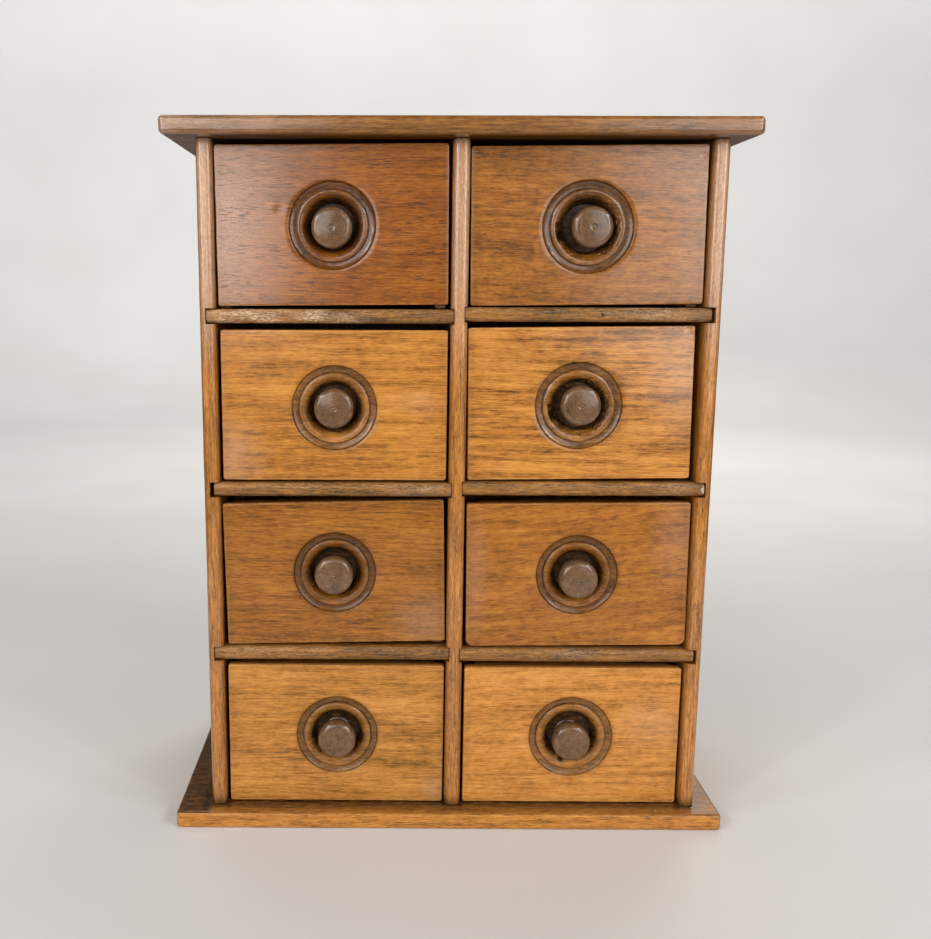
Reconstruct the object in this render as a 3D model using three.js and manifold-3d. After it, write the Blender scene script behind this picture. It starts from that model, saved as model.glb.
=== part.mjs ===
// A table-top apothecary cabinet: two columns of four small drawers in a wooden carcase.
// Units are millimetres. +Z is up, +X is to the right when facing the drawers, and the drawers face -Y.
// The origin is at the centre of the underside, on the surface that the cabinet stands on.
import * as THREE from "three";
import { mergeVertices } from "three/addons/utils/BufferGeometryUtils.js";
import Module from "manifold-3d";

const wasm = await Module();
wasm.setup();

// ---- Driving dimensions ----

const gap = 0.25; // between two pieces that touch
const overshoot = 1; // how far a cutter runs past what it cuts

// Carcase
const carcaseWidth = 300;
const carcaseDepth = 160;
const rows = 4;
const openingHeight = 93.75;
const sideThickness = 9.5;
const dividerThickness = 10;
const dividerShift = -0.3; // the divider stands a little left of centre
const shelfThickness = 8.5;
const shelfSetback = 0.8; // from the front edge of the sides to the nose of a shelf
const edgeRadius = 3.6; // front corners of the sides and the divider
const shelfNoseRadius = 3;
const sideDadoDepth = 5.8;
const dividerDadoDepth = 2;
const backThickness = 5;
const backRabbet = 5; // how far the back panel is let into each side

// Hand-cut differences. Rows count from the top.
const dadoErrors = { left: [-0.9, -0.4, 0.2], right: [0.4, 0.5, -0.5] }; // how high a shelf is off its even place
const shelfShortfalls = { left: [0, 2.1, 0], right: [1.8, 0.4, 1.1] }; // how far a shelf stops short in a side

// Top and base boards
const topLength = 330.5;
const topThickness = 10;
const topFrontOverhang = 15;
const topShift = 1.1; // to the right of the base board's centre
const topEdgeRadius = 2.6;
const baseLength = 334.8;
const baseThickness = 10.5;
const baseFrontOverhang = 10.5;
const baseEdgeRadius = 2;
const boardCornerExtra = 0.4; // how much rounder a board's corner is, seen from above, than its edge
const carcaseShift = 3.1; // to the right of the base board's centre

// Drawer fronts
const frontThickness = 14;
const frontLip = 6; // what is left of the front where a drawer side laps behind it
const frontSetback = 4.5; // behind the front edge of the sides
const frontEdgeRadius = 1.2;
const frontCornerRadius = 1.8;
// Each front was cut and hung by hand: its width and height, how far it sits off the middle of its opening,
// how far its lower edge is above the shelf, and how many degrees its right end is tilted up.
const fronts = {
  left: [
    { width: 132.8, height: 89.8, shift: -0.4, lift: 2, tilt: 0.5 },
    { width: 132.2, height: 88.4, shift: 0.3, lift: 1.2, tilt: 0 },
    { width: 132.2, height: 87.6, shift: 0.1, lift: 2, tilt: 1.2 },
    { width: 132.5, height: 89.2, shift: 0.5, lift: 0.6, tilt: -0.1 },
  ],
  right: [
    { width: 133.6, height: 88.8, shift: -0.2, lift: 1.3, tilt: 0.6 },
    { width: 131.2, height: 89.6, shift: -1.4, lift: 1.4, tilt: 0.7 },
    { width: 133.4, height: 88.7, shift: 0.5, lift: 1.4, tilt: 0.6 },
    { width: 133, height: 88.3, shift: 0.2, lift: 0.5, tilt: 0 },
  ],
};

// The turned dish in each front: a cove, and a bead whose inner side rolls over into a deep well round the knob
const dishRadius = 25;
const beadOuterRadius = 20.8;
const beadCrestRadius = 19.2;
const wellRadius = 12.8;
const coveDepth = 2.2;
const beadRise = 1.8; // above the bottom of the cove
const wellDepth = 9.5;
const knobHoleRadius = 4.3;
// Each dish was turned by eye: how far it is off the middle of its front, its size beside the radii above, and how
// far its knob is off its middle.
const dishes = {
  left: [
    { shift: 0, lift: 0, size: 1, knobShift: 0, knobLift: -1.4 },
    { shift: 0, lift: -1.3, size: 1.01, knobShift: 0, knobLift: 0.6 },
    { shift: 0, lift: 0, size: 1, knobShift: -0.3, knobLift: 0.2 },
    { shift: 0.6, lift: -0.9, size: 1.01, knobShift: 0, knobLift: 0 },
  ],
  right: [
    { shift: 0, lift: -0.6, size: 1.05, knobShift: 1.1, knobLift: -0.3 },
    { shift: -0.6, lift: -1.2, size: 1.03, knobShift: 0, knobLift: 0.9 },
    { shift: 0, lift: 0, size: 0.99, knobShift: -0.2, knobLift: -0.9 },
    { shift: 0, lift: -1, size: 1.04, knobShift: -0.8, knobLift: -0.3 },
  ],
};

// Turned knob
const knobRadius = 11.5;
const knobDome = 0.7; // how far the middle of the face stands in front of its rim
const knobRimRadius = 2.8;
const knobSkirt = 2.2; // straight part of the head behind the rim
const knobProtrusion = 10; // in front of the drawer front
const neckRadius = 6.8;
const neckCoveLength = 8;
const collarRadius = 8.6; // at the foot of the neck
const collarThickness = 1.6;
const tenonRadius = 4;

// Drawer boxes
const drawerLength = 148; // from the face of the front to the back of the box
const boxWidth = 131;
const boxHeight = 84;
const boxThickness = 6;
const backTopStep = 3; // the back is this much lower than the sides
const bottomThickness = 3.5;
const bottomHeight = 4.5; // underside of the bottom above the lower edge of the sides
const grooveDepth = 3;
const runnerClearance = 0.3; // between the lower edges of a box and what it slides on

// How finely round shapes are cut into flats
const edgeSteps = 3;
const frontEdgeSteps = 1;
const coveSteps = 2;
const rollSteps = 4;
const dishSegments = 24;
const knobSegments = 20;

// ---- Derived positions ----

const topOverallDepth = topFrontOverhang + carcaseDepth;
const backY = topOverallDepth / 2;
const carcaseFrontY = backY - carcaseDepth;
const carcaseBottomZ = baseThickness;
const carcaseHeight = rows * openingHeight + (rows - 1) * shelfThickness;
const carcaseTopZ = carcaseBottomZ + carcaseHeight;
const frontY = carcaseFrontY + frontSetback;
const backPanelFrontY = backY - backThickness;
const leftInnerX = carcaseShift - carcaseWidth / 2 + sideThickness;
const rightInnerX = carcaseShift + carcaseWidth / 2 - sideThickness;
const dividerX = carcaseShift + dividerShift;
const openings = {
  left: [leftInnerX, dividerX - dividerThickness / 2],
  right: [dividerX + dividerThickness / 2, rightInnerX],
};

// Height of the middle of the shelf under row 1, 2 or 3, or of the base board's upper face under row 4.
function shelfMiddleZ(side, row) {
  const even = carcaseTopZ - row * (openingHeight + shelfThickness) + shelfThickness / 2;
  return even + dadoErrors[side][row - 1];
}

function floorZ(side, row) {
  return row < rows ? shelfMiddleZ(side, row) + shelfThickness / 2 : carcaseBottomZ;
}

// ---- Materials ----

function wood(name, color, roughness) {
  const material = new THREE.MeshStandardMaterial({ color, roughness, metalness: 0 });
  material.name = name;
  return material;
}

const carcaseWood = wood("carcase", 0x9c6230, 0.42);
const shelfWood = wood("shelf", 0x846039, 0.55);
const frontWood = wood("drawer_front", 0xb27338, 0.38);
const knobWood = wood("knob", 0x6f5642, 0.4);
const boxWood = wood("drawer_box", 0xb89468, 0.75);
const backWood = wood("back_panel", 0x8f6b47, 0.8);

// ---- Solids ----

// A closed three.js geometry as a manifold-3d solid.
function solidOf(geometry) {
  geometry.deleteAttribute("normal");
  geometry.deleteAttribute("uv");
  const merged = mergeVertices(geometry, 1e-4);
  return new wasm.Manifold(
    new wasm.Mesh({
      numProp: 3,
      vertProperties: new Float32Array(merged.attributes.position.array),
      triVerts: new Uint32Array(merged.index.array),
    }),
  );
}

function meshOf(name, solid, material) {
  const made = solid.getMesh();
  const geometry = new THREE.BufferGeometry();
  geometry.setAttribute("position", new THREE.BufferAttribute(made.vertProperties, 3));
  geometry.setIndex(new THREE.BufferAttribute(made.triVerts, 1));
  geometry.computeVertexNormals();
  const mesh = new THREE.Mesh(geometry, material);
  mesh.name = name;
  return mesh;
}

// A square-edged board between two corners.
function block([x0, y0, z0], [x1, y1, z1]) {
  const geometry = new THREE.BoxGeometry(x1 - x0, y1 - y0, z1 - z0);
  geometry.translate((x0 + x1) / 2, (y0 + y1) / 2, (z0 + z1) / 2);
  return solidOf(geometry);
}

function cutAll(solid, cutters) {
  return cutters.reduce((rest, cutter) => rest.subtract(cutter), solid);
}

// A rectangle from (0, 0) to (width, depth) whose two corners at depth 0 are rounded.
function noseShape(width, depth, radius) {
  const shape = new THREE.Shape();
  shape.moveTo(0, depth);
  shape.lineTo(0, radius);
  shape.absarc(radius, radius, radius, Math.PI, 1.5 * Math.PI);
  shape.lineTo(width - radius, 0);
  shape.absarc(width - radius, radius, radius, 1.5 * Math.PI, 2 * Math.PI);
  shape.lineTo(width, depth);
  shape.closePath();
  return shape;
}

// A rectangle centred on (0, 0) with four rounded corners.
function roundedShape(width, height, radius) {
  const x = width / 2 - radius;
  const y = height / 2 - radius;
  const shape = new THREE.Shape();
  shape.moveTo(-x, -y - radius);
  shape.lineTo(x, -y - radius);
  shape.absarc(x, -y, radius, -0.5 * Math.PI, 0);
  shape.absarc(x, y, radius, 0, 0.5 * Math.PI);
  shape.absarc(-x, y, radius, 0.5 * Math.PI, Math.PI);
  shape.absarc(-x, -y, radius, Math.PI, 1.5 * Math.PI);
  shape.closePath();
  return shape;
}

// A board standing on edge, with its rounded edge to the front: a side panel or the divider.
function uprightBoard(x0, thickness, depth) {
  const height = carcaseHeight - 2 * gap;
  const geometry = new THREE.ExtrudeGeometry(noseShape(thickness, depth, edgeRadius), {
    depth: height,
    bevelEnabled: false,
    curveSegments: edgeSteps,
  });
  geometry.translate(x0, carcaseFrontY, carcaseBottomZ + gap);
  return solidOf(geometry);
}

// A flat board lying down, rounded along its front and both ends, and square at the back.
function lyingBoard(length, depth, thickness, radius, centreX, bottomZ) {
  const cornerRadius = radius + boardCornerExtra;
  const spare = 2 * cornerRadius; // runs on behind, and is cut off square
  const geometry = new THREE.ExtrudeGeometry(roundedShape(length, depth + spare, cornerRadius), {
    depth: thickness - 2 * radius,
    bevelThickness: radius,
    bevelSize: radius,
    bevelOffset: -radius,
    bevelSegments: edgeSteps,
    curveSegments: edgeSteps,
  });
  geometry.translate(centreX, backY - (depth - spare) / 2, bottomZ + radius);
  const behind = block(
    [centreX - length, backY, bottomZ - thickness],
    [centreX + length, backY + 2 * spare, bottomZ + 2 * thickness],
  );
  return solidOf(geometry).subtract(behind);
}

// A slot for the end of a shelf, open at the front, from x0 to x1.
function dado(x0, x1, middleZ) {
  const half = shelfThickness / 2 + gap;
  return block([x0, carcaseFrontY - overshoot, middleZ - half], [x1, backY + overshoot, middleZ + half]);
}

// Points along an arc of an ellipse, from one angle to another in degrees.
function arc(centreR, centreY, radiusR, radiusY, from, to, steps) {
  const points = [];
  for (let i = 0; i <= steps; i++) {
    const angle = THREE.MathUtils.degToRad(from + ((to - from) * i) / steps);
    points.push(new THREE.Vector2(centreR + radiusR * Math.cos(angle), centreY + radiusY * Math.sin(angle)));
  }
  return points;
}

// Turns a profile of (radius, height) points about the Y axis.
function turned(points, segments) {
  return solidOf(new THREE.LatheGeometry(points, segments));
}

// ---- Carcase ----

const shelfRows = [1, 2, 3];

function sidePanel(side) {
  const left = side === "left";
  const outerX = left ? leftInnerX - sideThickness : rightInnerX;
  const innerX = left ? leftInnerX : rightInnerX;
  const inward = left ? 1 : -1;
  const span = (depth) => [innerX - inward * depth, innerX + inward * overshoot].sort((a, b) => a - b);
  const [rabbetX0, rabbetX1] = span(backRabbet);
  const [dadoX0, dadoX1] = span(sideDadoDepth);
  const rabbet = block(
    [rabbetX0, backPanelFrontY - gap, carcaseBottomZ - overshoot],
    [rabbetX1, backY + overshoot, carcaseTopZ + overshoot],
  );
  const dados = shelfRows.map((row) => dado(dadoX0, dadoX1, shelfMiddleZ(side, row)));
  const board = uprightBoard(outerX, sideThickness, carcaseDepth);
  return meshOf("side_panel_" + side, cutAll(board, [rabbet, ...dados]), carcaseWood);
}

function centreDivider() {
  const x0 = openings.left[1];
  const x1 = openings.right[0];
  const board = uprightBoard(x0, dividerThickness, carcaseDepth - backThickness - gap);
  const dados = shelfRows.flatMap((row) => [
    dado(x0 - overshoot, x0 + dividerDadoDepth, shelfMiddleZ("left", row)),
    dado(x1 - dividerDadoDepth, x1 + overshoot, shelfMiddleZ("right", row)),
  ]);
  return meshOf("centre_divider", cutAll(board, dados), carcaseWood);
}

function shelf(side, row) {
  const [x0, x1] = openings[side];
  const intoSide = sideDadoDepth - gap - shelfShortfalls[side][row - 1];
  const intoDivider = dividerDadoDepth - gap;
  const start = x0 - (side === "left" ? intoSide : intoDivider);
  const end = x1 + (side === "left" ? intoDivider : intoSide);
  const depth = carcaseDepth - backThickness - gap - shelfSetback;
  const geometry = new THREE.ExtrudeGeometry(noseShape(shelfThickness, depth, shelfNoseRadius), {
    depth: end - start,
    bevelEnabled: false,
    curveSegments: edgeSteps,
  });
  // The profile's width points down and its length runs to the right.
  geometry.rotateY(Math.PI / 2);
  geometry.translate(
    start,
    carcaseFrontY + shelfSetback,
    shelfMiddleZ(side, row) + shelfThickness / 2,
  );
  return meshOf("shelf_" + side + "_" + row, solidOf(geometry), shelfWood);
}

function backPanel() {
  const x0 = leftInnerX - backRabbet + gap;
  const x1 = rightInnerX + backRabbet - gap;
  const panel = block([x0, backPanelFrontY, carcaseBottomZ + gap], [x1, backY, carcaseTopZ - gap]);
  return meshOf("back_panel", panel, backWood);
}

function carcase() {
  const group = new THREE.Group();
  const baseDepth = baseFrontOverhang + carcaseDepth;
  const topSolid = lyingBoard(topLength, topOverallDepth, topThickness, topEdgeRadius, topShift, carcaseTopZ);
  const baseSolid = lyingBoard(baseLength, baseDepth, baseThickness, baseEdgeRadius, 0, 0);
  group.add(meshOf("top_board", topSolid, carcaseWood));
  group.add(meshOf("base_board", baseSolid, carcaseWood));
  group.add(sidePanel("left"), sidePanel("right"), centreDivider(), backPanel());
  for (const side of ["left", "right"]) {
    for (const row of shelfRows) group.add(shelf(side, row));
  }
  return group;
}

// ---- Drawers ----
// A drawer is made with the middle of its front's face at x 0 and y 0, and the lower edge of its box at z 0.

// The hollow that the lathe cuts: its profile is (radius, depth behind the face), and Y becomes depth.
function dishCutter(size) {
  const rollWidth = beadCrestRadius - wellRadius;
  const rollDepth = wellDepth - coveDepth + beadRise;
  const points = [
    new THREE.Vector2(0, -overshoot),
    new THREE.Vector2(dishRadius, -overshoot),
    ...arc(beadOuterRadius, 0, dishRadius - beadOuterRadius, coveDepth, 0, 90, coveSteps),
    ...arc(beadCrestRadius, coveDepth, beadOuterRadius - beadCrestRadius, -beadRise, 0, 90, coveSteps).slice(1),
    ...arc(beadCrestRadius, wellDepth, -rollWidth, -rollDepth, 90, 0, rollSteps).slice(1),
    new THREE.Vector2(0, wellDepth),
  ];
  return turned(points, dishSegments).scale([size, 1, size]);
}

function knobHoleCutter() {
  const points = [
    new THREE.Vector2(0, wellDepth - overshoot),
    new THREE.Vector2(knobHoleRadius, wellDepth - overshoot),
    new THREE.Vector2(knobHoleRadius, frontThickness + overshoot),
    new THREE.Vector2(0, frontThickness + overshoot),
  ];
  return turned(points, dishSegments);
}

// The height of the middle of a front above the lower edge of its box.
function frontMiddle({ height, lift }) {
  return lift - runnerClearance + height / 2;
}

function drawerFront(spec, dish) {
  const { width, height, tilt } = spec;
  const geometry = new THREE.ExtrudeGeometry(roundedShape(width, height, frontCornerRadius), {
    depth: frontThickness - 2 * frontEdgeRadius,
    bevelThickness: frontEdgeRadius,
    bevelSize: frontEdgeRadius,
    bevelOffset: -frontEdgeRadius,
    bevelSegments: frontEdgeSteps,
    curveSegments: frontEdgeSteps,
  });
  geometry.rotateX(Math.PI / 2);
  geometry.translate(0, frontThickness - frontEdgeRadius, 0);
  geometry.rotateY(THREE.MathUtils.degToRad(-tilt));
  const middleZ = frontMiddle(spec);
  geometry.translate(0, 0, middleZ);
  const innerX = boxWidth / 2 - boxThickness - gap;
  const far = width;
  const rabbets = [-1, 1].map((way) => {
    const [x0, x1] = [way * innerX, way * far].sort((a, b) => a - b);
    return block([x0, frontLip, -far], [x1, far, far]);
  });
  const groove = block(
    [-far, frontThickness - grooveDepth - gap, bottomHeight - gap],
    [far, far, bottomHeight + bottomThickness + gap],
  );
  const dishZ = middleZ + dish.lift;
  const hollow = dishCutter(dish.size).translate([dish.shift, 0, dishZ]);
  const hole = knobHoleCutter().translate([dish.shift + dish.knobShift, 0, dishZ + dish.knobLift]);
  return cutAll(solidOf(geometry), [...rabbets, groove, hollow, hole]);
}

function drawerKnob() {
  const rimR = knobRadius - knobRimRadius;
  const skirtEnd = knobDome + knobRimRadius + knobSkirt;
  const shoulder = knobProtrusion + wellDepth - gap;
  const points = [
    new THREE.Vector2(0, 0),
    new THREE.Vector2(rimR / 2, knobDome / 4),
    ...arc(rimR, knobDome + knobRimRadius, knobRimRadius, -knobRimRadius, 90, 0, coveSteps),
    ...arc(neckRadius, skirtEnd, knobRadius - neckRadius, neckCoveLength, 0, 90, coveSteps),
    new THREE.Vector2(neckRadius, shoulder - collarThickness),
    new THREE.Vector2(collarRadius, shoulder - collarThickness),
    new THREE.Vector2(collarRadius, shoulder),
    new THREE.Vector2(tenonRadius, shoulder),
    new THREE.Vector2(tenonRadius, knobProtrusion + frontThickness),
    new THREE.Vector2(0, knobProtrusion + frontThickness),
  ];
  return turned(points, knobSegments);
}

function boxSide(way) {
  const outerX = (way * boxWidth) / 2;
  const innerX = outerX - way * boxThickness;
  const [x0, x1] = [outerX, innerX].sort((a, b) => a - b);
  const grooveEnds = [innerX - way * overshoot, innerX + way * (grooveDepth + gap)];
  const [grooveX0, grooveX1] = grooveEnds.sort((a, b) => a - b);
  const board = block([x0, frontLip + gap, 0], [x1, drawerLength, boxHeight]);
  const groove = block(
    [grooveX0, 0, bottomHeight - gap],
    [grooveX1, drawerLength + overshoot, bottomHeight + bottomThickness + gap],
  );
  return board.subtract(groove);
}

function boxBack() {
  const x = boxWidth / 2 - boxThickness - gap;
  const bottomZ = bottomHeight + bottomThickness + gap;
  return block([-x, drawerLength - boxThickness, bottomZ], [x, drawerLength, boxHeight - backTopStep]);
}

function boxBottom() {
  const x = boxWidth / 2 - boxThickness + grooveDepth;
  const front = frontThickness - grooveDepth;
  return block([-x, front, bottomHeight], [x, drawerLength, bottomHeight + bottomThickness]);
}

function drawer(side, row) {
  const spec = fronts[side][row - 1];
  const dish = dishes[side][row - 1];
  const name = "drawer_" + side + "_" + row;
  const [x0, x1] = openings[side];
  const group = new THREE.Group();
  group.position.set((x0 + x1) / 2 + spec.shift, frontY, floorZ(side, row) + runnerClearance);
  const knob = meshOf(name + "_knob", drawerKnob(), knobWood);
  const knobZ = frontMiddle(spec) + dish.lift + dish.knobLift;
  knob.position.set(dish.shift + dish.knobShift, -knobProtrusion, knobZ);
  group.add(
    meshOf(name + "_front", drawerFront(spec, dish), frontWood),
    knob,
    meshOf(name + "_side_left", boxSide(-1), boxWood),
    meshOf(name + "_side_right", boxSide(1), boxWood),
    meshOf(name + "_back", boxBack(), boxWood),
    meshOf(name + "_bottom", boxBottom(), boxWood),
  );
  return group;
}

// ---- Cabinet ----

const cabinet = new THREE.Group();
cabinet.name = "apothecary_cabinet";
cabinet.add(carcase());
for (const side of ["left", "right"]) {
  for (let row = 1; row <= rows; row++) cabinet.add(drawer(side, row));
}

export default cabinet;
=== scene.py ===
"""The apothecary cabinet's looks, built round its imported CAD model.

Shapes are worked out in millimetres in the frame's axes: +Z is up, +X is to the right when facing the
drawers, and the drawers face -Y. Wood patterns read a 'wood' attribute in centimetres, whose first axis runs
with the grain."""

import math

import bmesh
import bpy
import numpy as np
from mathutils import Matrix, Vector, noise


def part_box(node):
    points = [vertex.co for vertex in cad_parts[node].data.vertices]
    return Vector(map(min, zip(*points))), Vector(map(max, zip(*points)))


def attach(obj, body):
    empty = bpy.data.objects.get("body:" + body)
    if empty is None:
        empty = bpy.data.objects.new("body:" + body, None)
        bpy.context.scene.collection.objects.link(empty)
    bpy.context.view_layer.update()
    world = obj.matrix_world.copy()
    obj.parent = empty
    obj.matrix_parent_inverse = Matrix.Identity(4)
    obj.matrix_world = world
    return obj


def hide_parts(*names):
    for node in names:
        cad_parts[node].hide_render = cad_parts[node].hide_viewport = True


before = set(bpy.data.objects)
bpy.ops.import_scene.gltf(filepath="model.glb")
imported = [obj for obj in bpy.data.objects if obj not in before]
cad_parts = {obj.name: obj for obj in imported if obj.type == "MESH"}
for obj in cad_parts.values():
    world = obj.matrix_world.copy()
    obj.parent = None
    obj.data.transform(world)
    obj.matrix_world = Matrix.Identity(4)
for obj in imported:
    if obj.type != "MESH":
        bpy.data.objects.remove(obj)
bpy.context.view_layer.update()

scene = bpy.context.scene
MM = 0.001
SIDES = ("left", "right")
ROWS = (1, 2, 3, 4)
SHELF_ROWS = (1, 2, 3)


def box(node):
    """The lowest and highest corner of a CAD node, in millimetres."""
    low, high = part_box(node)
    return np.array(low) / MM, np.array(high) / MM


# ---- Camera ----

CAMERA_AT = (-0.0396, -0.6718, 0.3311)  # metres
CAMERA_PITCH, CAMERA_YAW, CAMERA_ROLL = -9.95, 0.36, -0.15  # degrees
CAMERA_LENS = 39.7
CAMERA_SHIFT = (0.0924, -0.0051)
SENSOR = 36


def add_camera():
    data = bpy.data.cameras.new("camera")
    data.sensor_width = SENSOR
    data.lens = CAMERA_LENS
    data.shift_x, data.shift_y = CAMERA_SHIFT
    camera = bpy.data.objects.new("camera", data)
    yaw = Matrix.Rotation(math.radians(CAMERA_YAW), 4, "Z")
    pitch = Matrix.Rotation(math.radians(90 + CAMERA_PITCH), 4, "X")
    roll = Matrix.Rotation(math.radians(-CAMERA_ROLL), 4, "Z")
    camera.matrix_world = Matrix.Translation(CAMERA_AT) @ yaw @ pitch @ roll
    scene.collection.objects.link(camera)
    scene.camera = camera


# ---- Colours and nodes ----


def colour(*rgb):
    """An sRGB colour of 0 to 255 as linear RGBA."""
    shares = [c / 255 for c in rgb]
    return (*[c / 12.92 if c <= 0.04045 else ((c + 0.055) / 1.055) ** 2.4 for c in shares], 1)


class Shader:
    """Adds nodes to a material. An input is given as a number, a vector or another node's output."""

    def __init__(self, name):
        self.material = bpy.data.materials.new(name)
        self.material.use_nodes = True
        self.tree = self.material.node_tree
        self.surface = self.tree.nodes["Principled BSDF"]

    def put(self, socket, value):
        if isinstance(value, bpy.types.NodeSocket):
            self.tree.links.new(value, socket)
        else:
            socket.default_value = value

    def give(self, name, value):
        """Gives the surface one of its inputs."""
        self.put(self.surface.inputs[name], value)

    def node(self, kind, inputs, **settings):
        made = self.tree.nodes.new(kind)
        for key, value in settings.items():
            setattr(made, key, value)
        for key, value in inputs.items():
            self.put(made.inputs[key], value)
        return made

    def attribute(self, name, output):
        return self.node("ShaderNodeAttribute", {}, attribute_name=name).outputs[output]

    def math(self, operation, *values, clamp=False):
        made = self.node("ShaderNodeMath", dict(enumerate(values)), operation=operation, use_clamp=clamp)
        return made.outputs[0]

    def times(self, a, b, clamp=False):
        return self.math("MULTIPLY", a, b, clamp=clamp)

    def noise(self, vector, along, across, shift, detail=2.0, roughness=0.55):
        """Noise from 0 to 1, with that many features to a unit along the first axis and across it."""
        placing = {"Vector": vector, "Scale": (along, across, across), "Location": (shift,) * 3}
        placed = self.node("ShaderNodeMapping", placing)
        inputs = {"Vector": placed.outputs[0], "Scale": 1.0, "Detail": detail, "Roughness": roughness}
        return self.node("ShaderNodeTexNoise", inputs).outputs[0]

    def spread(self, value, low, high, to_low=0.0, to_high=1.0):
        """Turns low to high into to_low to to_high, with smooth ends."""
        inputs = {"Value": value, "From Min": low, "From Max": high, "To Min": to_low, "To Max": to_high}
        return self.node("ShaderNodeMapRange", inputs, interpolation_type="SMOOTHSTEP").outputs[0]

    def swing(self, value, amount, onto):
        """Adds a 0 to 1 value to onto, as amount either way."""
        return self.math("MULTIPLY_ADD", self.math("SUBTRACT", value, 0.5), amount * 2, onto)

    def ramp(self, value, stops):
        made = self.node("ShaderNodeValToRGB", {"Fac": value})
        elements = made.color_ramp.elements
        while len(elements) < len(stops):
            elements.new(0.5)
        for element, (place, shade) in zip(elements, stops):
            element.position = place
            element.color = shade
        return made.outputs[0]

    def mix(self, share, a, b, blend="MIX"):
        made = self.node("ShaderNodeMix", {"Factor": share}, data_type="RGBA", blend_type=blend)
        self.put(made.inputs[6], a)
        self.put(made.inputs[7], b)
        return made.outputs[2]


# ---- Materials ----

# The colour of grime. It also serves as painted shade in the wells, down the bead's inner side and on the
# base's lip.
DIRT_AND_SHADE = colour(37, 21, 7)
# A pale milky colour painted on where the lights would reflect: a painted sheen.
PAINTED_SHEEN = colour(186, 154, 134)
AGED = (1.0, 1.04, 0.6, 1)  # what yellowed varnish multiplies a shade by


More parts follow.
